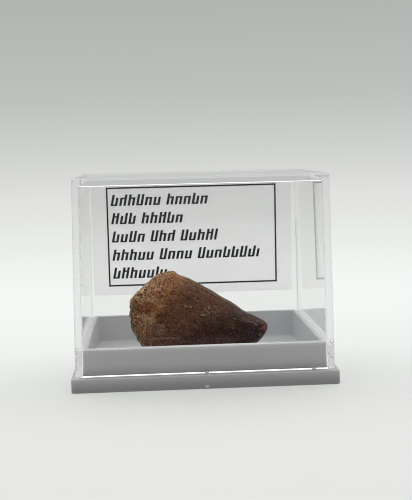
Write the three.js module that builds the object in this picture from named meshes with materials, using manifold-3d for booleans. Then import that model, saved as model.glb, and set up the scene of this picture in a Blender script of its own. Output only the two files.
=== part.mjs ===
// A fossil mosasaur tooth in a small display box: a grey moulded base with a tray, a clear hood lid,
// a bordered label card on the lid's back wall, and the tooth lying on the tray floor.
// Millimetres, +Z up, front towards -Y. The origin is the centre of the base's underside.
import * as THREE from "three";
import { mergeVertices } from "three/addons/utils/BufferGeometryUtils.js";
import Module from "manifold-3d";

// ---- Driving dimensions, mm and degrees ----

// Grey base: a plate that carries the lid, with the tray rim standing on it.
const PLATE = { width: 60.0, depth: 50.9, height: 3.2, corner: 0.7, edge: 0.25 };
const TRAY = { rimTop: 9.35, rimWall: 1.3, floor: 2.5, draft: 0.5, corner: 0.9, edge: 0.3 };
const RECESS = { rim: 1.8, depth: 1.2, corner: 0.6 };

// Clear lid: a hood that stands on the plate around the tray rim.
const LID = { width: 58.2, depth: 48.2, top: 47.2, wall: 1.45, ceiling: 1.6 };
const LID_DRAFT = { x: 0.83, y: 1.0 };
const LID_CORNER = { outer: 0.7, inner: 0.25 };
const LID_EDGE = { outer: 0.3, inner: 0.2 };
const LID_CLEARANCE = 0.12; // between the lid's inside and the tray rim

// Label card, flat against the lid's back wall.
const CARD = { width: 53.0, thickness: 0.25, bottom: 14.8, top: 45.3, centreX: -0.4, gap: 0.05 };

// Tooth, lying on its side with the crown's tip towards +X. Stations run along X:
// the height of the upper outline, the height of the lower outline and half the thickness.
const TOOTH_STATIONS = [
  { x: -16.95, top: 18.4, bottom: 10.4, half: 4.6 },
  { x: -16.35, top: 19.6, bottom: 8.8, half: 5.6 },
  { x: -14.9, top: 21.0, bottom: 6.2, half: 6.8 },
  { x: -12.0, top: 22.3, bottom: 3.2, half: 7.8 },
  { x: -9.0, top: 23.05, bottom: 2.2, half: 8.2 },
  { x: -6.8, top: 23.3, bottom: 2.1, half: 8.3 },
  { x: -4.3, top: 22.4, bottom: 2.1, half: 8.1 },
  { x: -2.1, top: 21.5, bottom: 2.2, half: 7.9 },
  { x: 3.0, top: 18.5, bottom: 2.2, half: 7.1 },
  { x: 5.2, top: 17.0, bottom: 2.2, half: 6.6 },
  { x: 8.5, top: 14.95, bottom: 2.4, half: 5.7 },
  { x: 11.1, top: 12.9, bottom: 3.1, half: 4.9 },
  { x: 13.0, top: 11.95, bottom: 4.3, half: 4.2 },
  { x: 14.9, top: 11.0, bottom: 5.75, half: 3.2 },
  { x: 16.0, top: 10.3, bottom: 7.05, half: 2.4 },
  { x: 16.5, top: 9.8, bottom: 8.0, half: 1.7 },
];
const TOOTH_AXIS = { y: -0.4, bend: 1.2 }; // centre line, and how far the tip leans back
// The slanting break across the root: its height over the first station, its slopes along X and Y,
// the depth of its roughness, and how widely its rim is worn round.
const BREAK = { height: 16.6, alongX: 1.0, alongY: -0.05, roughness: 0.3, worn: 0.5 };
// The crown's margin on the side of the tooth: X at each height.
const MARGIN = [
  { z: 3.0, x: -12.0 },
  { z: 8.0, x: -13.0 },
  { z: 11.0, x: -13.3 },
  { z: 14.0, x: -12.9 },
  { z: 16.0, x: -12.0 },
  { z: 18.0, x: -10.8 },
  { z: 19.8, x: -9.0 },
  { z: 21.2, x: -7.4 },
  { z: 23.3, x: -5.3 },
];
// The crown's two cutting edges: their angle round the section from +Y over the top, height and spread.
const CARINA_FRONT = { angle: 1.95, height: 0.22, spread: 0.09 };
const CARINA_BACK = { angle: -1.4, height: 0.35, spread: 0.15 };
const END_REACH = { root: 0.25, tip: 0.25 }; // how far each closed end bulges past its station
const RINGS = { root: 25, crown: 21, tip: 10, cap: 4 };
const RING_POINTS = 64;

const DEGREE = Math.PI / 180;
const CORNER_STEPS = 5;

const wasm = await Module();
wasm.setup();

// ---- Closed meshes from level rings ----

// A rounded rectangle, counter-clockwise from above.
function roundedRectangle(halfX, halfY, radius) {
  const points = [];
  const centres = [
    [halfX - radius, halfY - radius, 0],
    [radius - halfX, halfY - radius, 90],
    [radius - halfX, radius - halfY, 180],
    [halfX - radius, radius - halfY, 270],
  ];
  for (const [x, y, start] of centres)
    for (let i = 0; i <= CORNER_STEPS; i++) {
      const angle = (start + (90 * i) / CORNER_STEPS) * DEGREE;
      points.push(new THREE.Vector2(x + radius * Math.cos(angle), y + radius * Math.sin(angle)));
    }
  return points;
}

// A closed geometry from rings of equal length, each joined to the next and both ends filled flat.
function closedFromRings(rings) {
  const count = rings[0].length;
  const position = rings.flat().flatMap((p) => [p.x, p.y, p.z]);
  const index = [];
  for (let r = 0; r + 1 < rings.length; r++)
    for (let i = 0; i < count; i++) {
      const j = (i + 1) % count;
      const low = r * count;
      const high = low + count;
      index.push(low + i, low + j, high + j, low + i, high + j, high + i);
    }
  const outline = rings[0].map((p) => new THREE.Vector2(p.x, p.y));
  const last = (rings.length - 1) * count;
  for (const [a, b, c] of THREE.ShapeUtils.triangulateShape(outline, []))
    index.push(a, c, b, last + a, last + b, last + c);
  const geometry = new THREE.BufferGeometry();
  geometry.setAttribute("position", new THREE.Float32BufferAttribute(position, 3));
  geometry.setIndex(index);
  return geometry;
}

// A block with rounded upright corners: levels list a height and how far each side is drawn in there.
function block(width, depth, corner, levels) {
  const rings = levels.map(({ z, inX, inY }) =>
    roundedRectangle(width / 2 - inX, depth / 2 - inY, corner).map(
      (p) => new THREE.Vector3(p.x, p.y, z),
    ),
  );
  return closedFromRings(rings);
}

// Levels of a drafted block from z0 to z1 whose lower and upper edges are broken by a small chamfer.
function draftedLevels(z0, z1, draftX, draftY, lowEdge, highEdge) {
  const inward = (z, extra) => ({
    z,
    inX: (z - z0) * Math.tan(draftX * DEGREE) + extra,
    inY: (z - z0) * Math.tan(draftY * DEGREE) + extra,
  });
  const levels = [];
  if (lowEdge) levels.push(inward(z0, lowEdge), inward(z0 + lowEdge, 0));
  else levels.push(inward(z0, 0));
  if (highEdge) levels.push(inward(z1 - highEdge, 0), inward(z1, highEdge));
  else levels.push(inward(z1, 0));
  return levels;
}

// ---- Solids for joining and cutting ----

function solid(geometry) {
  const bare = new THREE.BufferGeometry();
  bare.setAttribute("position", geometry.getAttribute("position"));
  bare.setIndex(geometry.index);
  const merged = mergeVertices(bare, 1e-4);
  return new wasm.Manifold(
    new wasm.Mesh({
      numProp: 3,
      vertProperties: new Float32Array(merged.attributes.position.array),
      triVerts: new Uint32Array(merged.index.array),
    }),
  );
}

function geometryOf(manifold) {
  const mesh = manifold.getMesh();
  const geometry = new THREE.BufferGeometry();
  geometry.setAttribute("position", new THREE.BufferAttribute(mesh.vertProperties, 3));
  geometry.setIndex(new THREE.BufferAttribute(mesh.triVerts, 1));
  return geometry;
}

// ---- Grey base ----

// The plate, the tray block on it, the tray's hollow from above and a shallow recess from below.
function baseGeometry() {
  const trayWidth = LID.width - 2 * (LID.wall + LID_CLEARANCE);
  const trayDepth = LID.depth - 2 * (LID.wall + LID_CLEARANCE);
  const plate = block(
    PLATE.width,
    PLATE.depth,
    PLATE.corner,
    draftedLevels(0, PLATE.height, 0, 0, PLATE.edge, PLATE.edge),
  );
  const foot = PLATE.height - 1; // the tray block starts inside the plate
  const tray = block(
    trayWidth,
    trayDepth,
    TRAY.corner,
    draftedLevels(foot, TRAY.rimTop, TRAY.draft, TRAY.draft, 0, TRAY.edge),
  );
  const above = TRAY.rimTop + 1;
  const rimLean = (TRAY.rimTop - foot) * Math.tan(TRAY.draft * DEGREE);
  const mouth = 2 * (TRAY.rimWall + rimLean);
  const hollow = block(trayWidth - mouth, trayDepth - mouth, TRAY.corner / 2, [
    { z: TRAY.floor, inX: 0, inY: 0 },
    { z: TRAY.rimTop - TRAY.edge, inX: 0, inY: 0 },
    { z: TRAY.rimTop, inX: -TRAY.edge, inY: -TRAY.edge },
    { z: above, inX: -TRAY.edge, inY: -TRAY.edge },
  ]);
  const recess = block(
    PLATE.width - 2 * RECESS.rim,
    PLATE.depth - 2 * RECESS.rim,
    RECESS.corner,
    draftedLevels(-1, RECESS.depth, 0, 0, 0, 0),
  );
  return geometryOf(solid(plate).add(solid(tray)).subtract(solid(hollow)).subtract(solid(recess)));
}

// ---- Clear lid ----

function lidGeometry() {
  const outer = block(
    LID.width,
    LID.depth,
    LID_CORNER.outer,
    draftedLevels(PLATE.height, LID.top, LID_DRAFT.x, LID_DRAFT.y, 0, LID_EDGE.outer),
  );
  const below = 1; // the cutting block starts this far under the lid's foot
  const hollow = block(
    LID.width - 2 * LID.wall + 2 * below * Math.tan(LID_DRAFT.x * DEGREE),
    LID.depth - 2 * LID.wall + 2 * below * Math.tan(LID_DRAFT.y * DEGREE),
    LID_CORNER.inner,
    draftedLevels(
      PLATE.height - below,
      LID.top - LID.ceiling,
      LID_DRAFT.x,
      LID_DRAFT.y,
      0,
      LID_EDGE.inner,
    ),
  );
  return geometryOf(solid(outer).subtract(solid(hollow)));
}

// ---- Label card ----

// A thin sheet that leans with the drafted back wall, centred on its own middle.
function cardGeometry() {
  const length = (CARD.top - CARD.bottom) / Math.cos(LID_DRAFT.y * DEGREE);
  return new THREE.BoxGeometry(CARD.width, CARD.thickness, length);
}

function placeCard(card) {
  const middle = (CARD.top + CARD.bottom) / 2;
  const wallAtMiddle =
    LID.depth / 2 - LID.wall - (middle - PLATE.height) * Math.tan(LID_DRAFT.y * DEGREE);
  card.position.set(CARD.centreX, wallAtMiddle - CARD.gap - CARD.thickness / 2, middle);
  card.rotation.x = LID_DRAFT.y * DEGREE;
}

// ---- Tooth ----

// A smooth curve through the stations: cubic pieces whose slope at a station is that of its neighbours.
function throughStations(key, x) {
  const s = TOOTH_STATIONS;
  let i = 0;
  while (i < s.length - 2 && x > s[i + 1].x) i++;
  const slope = (k) => {
    const a = s[Math.max(k - 1, 0)];
    const b = s[Math.min(k + 1, s.length - 1)];
    return (b[key] - a[key]) / (b.x - a.x);
  };
  const span = s[i + 1].x - s[i].x;
  const t = THREE.MathUtils.clamp((x - s[i].x) / span, 0, 1);
  const t2 = t * t;
  const t3 = t2 * t;
  return (
    (2 * t3 - 3 * t2 + 1) * s[i][key] +
    (t3 - 2 * t2 + t) * span * slope(i) +
    (3 * t2 - 2 * t3) * s[i + 1][key] +
    (t3 - t2) * span * slope(i + 1)
  );
}

// A repeatable number from 0 to 1 for a lattice point.
function hash(i, j, k) {
  const v = Math.sin(i * 127.1 + j * 311.7 + k * 74.7) * 43758.5453;
  return v - Math.floor(v);
}

// Smooth noise from -1 to 1 with features of the given size.
function noise(x, y, z, size) {
  const [u, v, w] = [x / size, y / size, z / size];
  const [i, j, k] = [Math.floor(u), Math.floor(v), Math.floor(w)];
  const ease = (t) => t * t * (3 - 2 * t);
  const [a, b, c] = [ease(u - i), ease(v - j), ease(w - k)];
  let sum = 0;
  for (const di of [0, 1])
    for (const dj of [0, 1])
      for (const dk of [0, 1]) {
        const weight = (di ? a : 1 - a) * (dj ? b : 1 - b) * (dk ? c : 1 - c);
        sum += weight * hash(i + di, j + dj, k + dk);
      }
  return 2 * sum - 1;
}

const smoothstep = THREE.MathUtils.smoothstep;

// How far a point lies past the crown's margin towards the tip, with a ragged line.
function pastMargin(p) {
  const lower = MARGIN.filter((m) => m.z < p.z).length;
  const i = THREE.MathUtils.clamp(lower, 1, MARGIN.length - 1);
  const [low, high] = [MARGIN[i - 1], MARGIN[i]];
  const share = THREE.MathUtils.clamp((p.z - low.z) / (high.z - low.z), 0, 1);
  return p.x - THREE.MathUtils.lerp(low.x, high.x, share) + 0.6 * noise(p.x, p.y, p.z, 2.6);
}

// How far the surface stands out from the plain tooth at a point, in mm.
// Root: lumps, and pits where the noise dips, up to a low collar at the margin.
// Crown: flutes, the two cutting edges and wear.
function relief(p, angle) {
  const past = pastMargin(p);
  const root = 1 - smoothstep(past, -0.6, 0.3);
  const lumps = 0.2 * noise(p.x, p.y, p.z, 2.2) + 0.14 * noise(p.x + 40, p.y, p.z, 1.3);
  const pits = -0.4 * smoothstep(noise(p.x, p.y + 60, p.z, 1.7), 0.3, 0.75);
  const lip = smoothstep(past, -3, -0.6) * (1 - smoothstep(past, -0.6, 0.5));
  const collar = 0.3 * lip * smoothstep(p.z, 12, 20);
  const flutes = 0.05 * Math.cos(11 * angle + 0.25 * p.x);
  const edge = (c) => c.height * Math.exp(-(((angle - c.angle) / c.spread) ** 2));
  const edges = (edge(CARINA_FRONT) + edge(CARINA_BACK)) * smoothstep(p.x, -8, -2);
  const wear = 0.05 * noise(p.x, p.y, p.z + 30, 1.8);
  const unworn = smoothstep(p.x, -11, -6) * (1 - smoothstep(p.x, 12.5, 16)); // the tip is rubbed smooth
  return root * (lumps + pits - 0.1) + unworn * (flutes + edges) + (1 - root) * wear + collar;
}

// Height of the rough broken face over a point.
function breakHeight(x, y) {
  const rough = noise(x, y, 11, 2.1) + 0.7 * noise(x, y, 23, 1.1);
  const run = x - TOOTH_STATIONS[0].x;
  return BREAK.height + BREAK.alongX * run + BREAK.alongY * y + BREAK.roughness * rough;
}

// The lower of two heights, blended over the width k where they cross.
function wornEdge(a, b, k) {
  const h = Math.max(k - Math.abs(a - b), 0) / k;
  return Math.min(a, b) - (h * h * k) / 4;
}

// One ring of the tooth at x: an oval between the two outlines with the relief on it,
// cut above by the break and below by the tray floor, which gives the flat spot it rests on.
function toothRing(x) {
  const top = throughStations("top", x);
  const bottom = throughStations("bottom", x);
  const half = throughStations("half", x);
  const tall = (top - bottom) / 2;
  const centreY = TOOTH_AXIS.y + TOOTH_AXIS.bend * smoothstep(x, 0, 17);
  const squareness = 0.95; // 1 is a plain oval, less is fuller
  const bulge = (t) => Math.sign(t) * Math.abs(t) ** squareness;
  const ring = [];
  for (let i = 0; i < RING_POINTS; i++) {
    const angle = Math.PI - (2 * Math.PI * (i + 0.5)) / RING_POINTS;
    const [across, up] = [Math.cos(angle), Math.sin(angle)];
    const p = new THREE.Vector3(x, centreY + half * bulge(across), bottom + tall * (1 + bulge(up)));
    const out = relief(p, angle);
    p.y += out * across;
    p.z += out * up;
    p.z = Math.max(wornEdge(p.z, breakHeight(p.x, p.y), BREAK.worn), TRAY.floor);
    ring.push(p);
  }
  return ring;
}

// Rings that close an end: the last ring drawn in towards its middle while it moves `reach` along X
// on a quarter round, with a rough face.
function closingRings(ring, reach) {
  const middle = meanOf(ring);
  return Array.from({ length: RINGS.cap }, (_, n) => {
    const t = (n + 1) / (RINGS.cap + 1);
    const round = Math.sqrt(1 - (1 - t) ** 2);
    return ring.map((p) => {
      const q = p.clone().lerp(middle, t);
      const rough = 1 + 0.6 * noise(q.y, q.z, 7, 1.6);
      q.x += reach * round * rough;
      return q;
    });
  });
}

function meanOf(ring) {
  return ring.reduce((sum, p) => sum.add(p), new THREE.Vector3()).divideScalar(ring.length);
}

// Rings from the broken root end to the worn tip, closer together where the surface is rough or curved.
function toothGeometry() {
  const first = TOOTH_STATIONS[0].x;
  const last = TOOTH_STATIONS.at(-1).x;
  const crownStart = -6.0;
  const tipStart = 12.0;
  const spread = (from, to, steps, ease) =>
    Array.from({ length: steps }, (_, i) => from + (to - from) * ease(i / steps));
  const xs = [
    ...spread(first, crownStart, RINGS.root, (t) => 0.5 * t + 0.5 * t * t),
    ...spread(crownStart, tipStart, RINGS.crown, (t) => t),
    ...spread(tipStart, last, RINGS.tip, (t) => 1 - (1 - t) ** 1.6),
    last,
  ];
  const rings = xs.map(toothRing);
  const rootEnd = closingRings(rings[0], -END_REACH.root).reverse();
  const tipEnd = closingRings(rings.at(-1), END_REACH.tip);
  return closedAlongX([...rootEnd, ...rings, ...tipEnd]);
}

// Rings that follow X, joined to each other, with each end drawn to the mean of its ring.
function closedAlongX(rings) {
  const position = rings.flat().flatMap((p) => [p.x, p.y, p.z]);
  const index = [];
  for (let r = 0; r + 1 < rings.length; r++)
    for (let i = 0; i < RING_POINTS; i++) {
      const j = (i + 1) % RING_POINTS;
      const here = r * RING_POINTS;
      const next = here + RING_POINTS;
      index.push(here + i, next + j, here + j, here + i, next + i, next + j);
    }
  const start = rings.length * RING_POINTS;
  const end = start + 1;
  for (const p of [meanOf(rings[0]), meanOf(rings.at(-1))]) position.push(p.x, p.y, p.z);
  const lastRing = (rings.length - 1) * RING_POINTS;
  for (let i = 0; i < RING_POINTS; i++) {
    const j = (i + 1) % RING_POINTS;
    index.push(start, i, j, end, lastRing + j, lastRing + i);
  }
  const geometry = new THREE.BufferGeometry();
  geometry.setAttribute("position", new THREE.Float32BufferAttribute(position, 3));
  geometry.setIndex(index);
  return geometry;
}

// ---- The part ----

const greyPlastic = new THREE.MeshStandardMaterial({ color: 0xa9aaaa, roughness: 0.5, metalness: 0 });
const clearPlastic = new THREE.MeshStandardMaterial({
  color: 0xf4f6fa,
  roughness: 0.08,
  metalness: 0,
  transparent: true,
  opacity: 0.25,
});
const card = new THREE.MeshStandardMaterial({ color: 0xf0f0ee, roughness: 0.9, metalness: 0 });
const fossil = new THREE.MeshStandardMaterial({ color: 0x5a3a2c, roughness: 0.45, metalness: 0 });

function named(name, geometry, material) {
  const mesh = new THREE.Mesh(geometry, material);
  mesh.name = name;
  return mesh;
}

const part = new THREE.Group();
const labelCard = named("label_card", cardGeometry(), card);
placeCard(labelCard);
part.add(
  named("display_base", baseGeometry(), greyPlastic),
  named("clear_lid", lidGeometry(), clearPlastic),
  labelCard,
  named("mosasaur_tooth", toothGeometry(), fossil),
);

export default part;
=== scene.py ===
"""A fossil mosasaur tooth in its display box: grey tray base, clear hood lid, bordered label card and tooth.
Shapes are worked out in millimetres and go into their meshes in metres."""

import math

import bpy
import numpy as np
from mathutils import Matrix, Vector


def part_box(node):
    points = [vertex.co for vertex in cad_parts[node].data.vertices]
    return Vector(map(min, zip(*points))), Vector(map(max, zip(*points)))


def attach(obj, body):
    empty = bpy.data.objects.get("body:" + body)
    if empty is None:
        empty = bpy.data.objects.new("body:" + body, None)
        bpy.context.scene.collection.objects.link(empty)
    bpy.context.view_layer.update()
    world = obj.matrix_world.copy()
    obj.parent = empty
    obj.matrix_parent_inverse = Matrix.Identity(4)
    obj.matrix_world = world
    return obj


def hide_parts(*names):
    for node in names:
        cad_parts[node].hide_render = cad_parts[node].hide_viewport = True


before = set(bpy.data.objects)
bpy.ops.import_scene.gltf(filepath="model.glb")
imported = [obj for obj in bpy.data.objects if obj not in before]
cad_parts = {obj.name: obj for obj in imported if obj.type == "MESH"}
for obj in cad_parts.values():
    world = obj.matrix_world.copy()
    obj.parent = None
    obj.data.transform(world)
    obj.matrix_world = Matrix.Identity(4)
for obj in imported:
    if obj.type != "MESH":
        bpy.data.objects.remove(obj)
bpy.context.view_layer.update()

MM = 0.001

# ---- Sizes read from the frame, in mm ----


def box_mm(node):
    """A CAD node's lowest and highest corners in mm."""
    low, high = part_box(node)
    return np.array(low) / MM, np.array(high) / MM


BASE_LOW, BASE_HIGH = box_mm("display_base")
LID_LOW, LID_HIGH = box_mm("clear_lid")
CARD_LOW, CARD_HIGH = box_mm("label_card")
TOOTH_LOW, TOOTH_HIGH = box_mm("mosasaur_tooth")
PLATE_TOP = LID_LOW[2]
TRAY_FLOOR = TOOTH_LOW[2]
RIM_TOP = BASE_HIGH[2]

# ---- Sizes of the moulded box, in mm and degrees ----

RIM_WALL = 1.3
TRAY_DRAFT = 0.5
RECESS_RIM = 1.8
RECESS_DEPTH = 1.2
LID_WALL = 1.45
LID_CEILING = 1.6
LID_CLEARANCE = 0.12
LID_LIFT = 0.04  # air under the lid's foot
LID_DRAFT_X = 0.83
LID_DRAFT_Y = 1.0
CARD_THICKNESS = 0.25

# ---- The view ----

CAMERA_PLACE = (-11.55, -240.23, 53.48)
CAMERA_YAW = 3.222
CAMERA_PITCH = 5.945
CAMERA_ROLL = 1.373
FOCAL_PIXELS = 986.8
IMAGE_LONG_SIDE = 500
SENSOR = 36.0


def make_camera():
    """A camera turned right by the yaw, down by the pitch and about its own axis by the roll."""
    data = bpy.data.cameras.new("camera")
    data.sensor_width = SENSOR
    data.lens = FOCAL_PIXELS / IMAGE_LONG_SIDE * SENSOR
    data.clip_start = 0.01
    data.clip_end = 10.0
    camera = bpy.data.objects.new("camera", data)
    place = Matrix.Translation([c * MM for c in CAMERA_PLACE])
    yaw = Matrix.Rotation(math.radians(-CAMERA_YAW), 4, "Z")
    pitch = Matrix.Rotation(math.radians(90 - CAMERA_PITCH), 4, "X")
    roll = Matrix.Rotation(math.radians(-CAMERA_ROLL), 4, "Z")
    camera.matrix_world = place @ yaw @ pitch @ roll
    bpy.context.scene.collection.objects.link(camera)
    bpy.context.scene.camera = camera


# ---- Meshes from arrays ----


def make_piece(name, points, faces, material, smooth=True):
    """A mesh object at the origin from points in mm and faces as lists of point numbers."""
    mesh = bpy.data.meshes.new(name)
    mesh.from_pydata((points.reshape(-1, 3) * MM).tolist(), [], faces)
    mesh.polygons.foreach_set("use_smooth", np.full(len(mesh.polygons), smooth))
    mesh.materials.append(material)
    mesh.update()
    piece = bpy.data.objects.new(name, mesh)
    bpy.context.scene.collection.objects.link(piece)
    return piece


def store_values(piece, name, values):
    """Keeps a number, or a vector, for each point of a piece's mesh."""
    kind, field = ("FLOAT_VECTOR", "vector") if values.ndim == 3 else ("FLOAT", "value")
    layer = piece.data.attributes.new(name, kind, "POINT")
    layer.data.foreach_set(field, values.ravel().astype(np.float32))


def once_round(sides):
    """Angles once round, evenly spaced."""
    return np.linspace(0, 2 * math.pi, sides, endpoint=False)


def grid_faces(rows, columns):
    """Quads of a grid whose columns close on themselves, and a face over its first row and over its last."""
    row, column = np.meshgrid(np.arange(rows - 1), np.arange(columns), indexing="ij")
    here = row * columns + column
    beside = row * columns + (column + 1) % columns
    quads = np.stack((here, beside, beside + columns, here + columns), axis=-1).reshape(-1, 4)
    first = list(range(columns))[::-1]
    last = list(range((rows - 1) * columns, rows * columns))
    return quads.tolist() + [first, last]


CORNER_STEPS = 6
FILLET_STEPS = 5
SUPPORT = 0.06  # points this far beyond each curve keep the flat faces flat when shaded


def corner_directions():
    """For each point of a rounded rectangle, counter-clockwise: its corner's side along X and Y, its way
    from the corner's centre, and its slide along the tangent."""
    turn = np.concatenate(((0,), np.linspace(0, 90, CORNER_STEPS + 1), (90,)))
    angles = np.radians(90 * np.arange(4)[:, None] + turn).ravel()
    sides = np.repeat(((1, 1), (-1, 1), (-1, -1), (1, -1)), len(turn), axis=0)
    ways = np.column_stack((np.cos(angles), np.sin(angles)))
    slide = np.concatenate(((-SUPPORT,), np.zeros(CORNER_STEPS + 1), (SUPPORT,)))
    return sides, ways, np.tile(slide, 4)


def rounded_path(corners):
    """A path through corners of half width, height, plan radius and fillet, as arrays of the first three.
    A fillet is an arc that touches both legs, with a support point on each leg just beyond it."""
    pts = np.array([c[:2] for c in corners], float)
    path = [(*pts[0], corners[0][2])]
    for i in range(1, len(pts) - 1):
        here, plan, fillet = pts[i], corners[i][2], corners[i][3]
        back, on = (v / np.linalg.norm(v) for v in (pts[i - 1] - here, pts[i + 1] - here))
        half = math.acos(np.clip(back @ on, -1, 1)) / 2
        reach = fillet / math.tan(half)
        middle = here + (back + on) / np.linalg.norm(back + on) * fillet / math.sin(half)
        start, end = here + back * reach, here + on * reach
        a, b = start - middle, end - middle
        turn = math.acos(np.clip(a @ b / fillet**2, -1, 1))
        t = np.linspace(0, 1, FILLET_STEPS + 1)[:, None]
        arc = middle + (a * np.sin((1 - t) * turn) + b * np.sin(t * turn)) / math.sin(turn)
        path += [(*p, plan) for p in (start + back * SUPPORT, *arc, end + on * SUPPORT)]
    path.append((*pts[-1], corners[-1][2]))
    return np.array(path).T


def carried_round(half_x, half_y, height, radius):
    """A profile carried round a rounded rectangle: each of its points gives one ring."""
    sides, ways, slides = corner_directions()
    tangents = np.column_stack((-ways[:, 1], ways[:, 0]))
    half = np.stack((half_x, half_y), axis=-1)[:, None, :]
    r = radius[:, None, None]
    plan = sides * (half - r) + ways * r + tangents * slides[:, None]
    z = np.broadcast_to(height[:, None, None], plan.shape[:2] + (1,))
    return np.concatenate((plan, z), axis=-1)


# ---- Shader graphs ----


class Graph:
    """Adds nodes to a tree: an input takes a plain value, or the socket that feeds it."""

    def __init__(self, tree):
        self.tree = tree

    def feed(self, node, inputs):
        """Sets or feeds a node's inputs. A colour may leave out its alpha."""
        for name, value in inputs.items():
            socket = node.inputs[name]
            if isinstance(value, bpy.types.NodeSocket):
                self.tree.links.new(value, socket)
            elif socket.type == "RGBA":
                socket.default_value = (*value[:3], 1.0)
            else:
                socket.default_value = value

    def node(self, kind, inputs, **settings):
        """A new node of this kind."""
        node = self.tree.nodes.new("ShaderNode" + kind)
        for name, value in settings.items():
            setattr(node, name, value)
        self.feed(node, inputs)
        return node

    def add(self, kind, inputs, output=0, **settings):
        """One output of a new node of this kind."""
        return self.node(kind, inputs, **settings).outputs[output]

    def math(self, operation, a, b):
        """A sum, power or other operation on two numbers."""
        return self.add("Math", {0: a, 1: b}, operation=operation)

    def times(self, a, b):
        """The product of two numbers."""
        return self.math("MULTIPLY", a, b)

    def mix(self, share, a, b, blend="MIX"):
        """Colour a turned towards colour b by the share."""
        return self.add("Mix", {0: share, 6: a, 7: b}, output=2, data_type="RGBA", blend_type=blend)

    def blend(self, share, a, b):
        """Number a turned towards number b by the share."""
        return self.add("Mix", {0: share, 2: a, 3: b}, data_type="FLOAT")

    def span(self, value, low, high, to_low=0.0, to_high=1.0, kind="SMOOTHSTEP"):
        """The value's place between low and high, carried to another span, smoothly and held at the ends."""
        inputs = {0: value, 1: low, 2: high, 3: to_low, 4: to_high}
        return self.add("MapRange", inputs, interpolation_type=kind)

    def swing(self, noise, low, high):
        """A factor from low to high that follows a noise evenly."""
        return self.span(noise, 0.3, 0.7, low, high, "LINEAR")

    def ramp(self, value, stops):
        """A colour for each value, blended between the stops."""
        node = self.node("ValToRGB", {0: value})
        elements = node.color_ramp.elements
        while len(elements) < len(stops):
            elements.new(0.5)
        for element, (place, colour) in zip(elements, stops):
            element.position = place
            element.color = (*colour, 1.0)
        return node.outputs[0]

    def noise(self, vector, scale, detail, roughness=0.5):
        """Smooth noise from 0 to 1 about 0.5."""
        inputs = {"Vector": vector, "Scale": scale, "Detail": detail, "Roughness": roughness}
        return self.add("TexNoise", inputs)

    def place_mm(self):
        """The surface point in mm, in the piece's own coordinates."""
        coordinates = self.add("TexCoord", {}, output="Object")
        return self.add("VectorMath", {0: coordinates, "Scale": 1 / MM}, operation="SCALE")

    def part_of(self, vector, axis):
        """One of a vector's three parts."""
        return self.add("SeparateXYZ", {0: vector}, output=axis)

    def attribute(self, name, output="Fac"):
        """A value stored on the mesh."""
        return self.add("Attribute", {}, output=output, attribute_name=name)

    def bump(self, height, strength, depth_mm):
        """The normal of a surface with a fine height on it."""
        return self.add("Bump", {"Height": height, "Strength": strength, "Distance": depth_mm * MM})

    def grain(self, group, place, scale, **more):
        """The height and the patchiness of a placed grain group."""
        node = self.node("Group", {"Vector": place, "Scale": scale, **more}, node_tree=group)
        return node.outputs["Height"], node.outputs["Patchiness"]

    def specks(self, group, place, scale, size, softness, share):
        """The mask of a placed speckle group."""
        inputs = {"Vector": place, "Scale": scale, "Size": size, "Softness": softness, "Share": share}
        return self.add("Group", inputs, output="Mask", node_tree=group)


def new_group(name, numbers, outputs):
    """A shader group with a vector and numbers as inputs and numbers as outputs: its tree, its graph, and
    the sockets of its inputs and of its outputs."""
    tree = bpy.data.node_groups.new(name, "ShaderNodeTree")
    tree.interface.new_socket("Vector", in_out="INPUT", socket_type="NodeSocketVector")
    for socket, default in numbers.items():
        made = tree.interface.new_socket(socket, in_out="INPUT", socket_type="NodeSocketFloat")
        made.default_value = default
    for socket in outputs:
        tree.interface.new_socket(socket, in_out="OUTPUT", socket_type="NodeSocketFloat")
    given = tree.nodes.new("NodeGroupInput").outputs
    taken = tree.nodes.new("NodeGroupOutput").inputs
    return tree, Graph(tree), given, taken


def speckle_group():
    """Round specks at a scale per mm: 1 within the size of a cell's point, fading over the softness, and
    only in a share of the cells."""
    numbers = {"Scale": 2.0, "Size": 0.3, "Softness": 0.1, "Share": 0.5}
    tree, g, given, taken = new_group("speckle", numbers, ("Mask",))
    cells = g.node("TexVoronoi", {"Vector": given["Vector"], "Scale": given["Scale"]}, feature="F1")
    edge = g.math("ADD", given["Size"], given["Softness"])
    spot = g.span(cells.outputs["Distance"], given["Size"], edge, 1.0, 0.0)
    drawn = g.add("SeparateColor", {0: cells.outputs["Color"]})
    held = g.math("LESS_THAN", drawn, given["Share"])
    tree.links.new(g.times(spot, held), taken["Mask"])
    return tree


def grain_group():
    """Fine grain at a scale per mm, as a height about 0, and a patchy variation from 0 to 1."""
    numbers = {"Scale": 4.0, "Detail": 4.0, "Patches": 0.15}
    tree, g, given, taken = new_group("fine_grain", numbers, ("Height", "Patchiness"))
    fine = g.noise(given["Vector"], given["Scale"], given["Detail"], 0.6)
    broad = g.noise(given["Vector"], given["Patches"], 2.0)
    tree.links.new(g.math("SUBTRACT", fine, 0.5), taken["Height"])
    tree.links.new(g.span(broad, 0.35, 0.65), taken["Patchiness"])
    return tree


def new_material(name, viewport):
    """A material with a bare Principled shader, its graph, the shader and the output."""
    material = bpy.data.materials.new(name)
    material.use_nodes = True
    material.diffuse_color = (*viewport, 1.0)
    tree = material.node_tree
    return material, Graph(tree), tree.nodes["Principled BSDF"], tree.nodes["Material Output"]


# ---- Finishes ----

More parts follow.
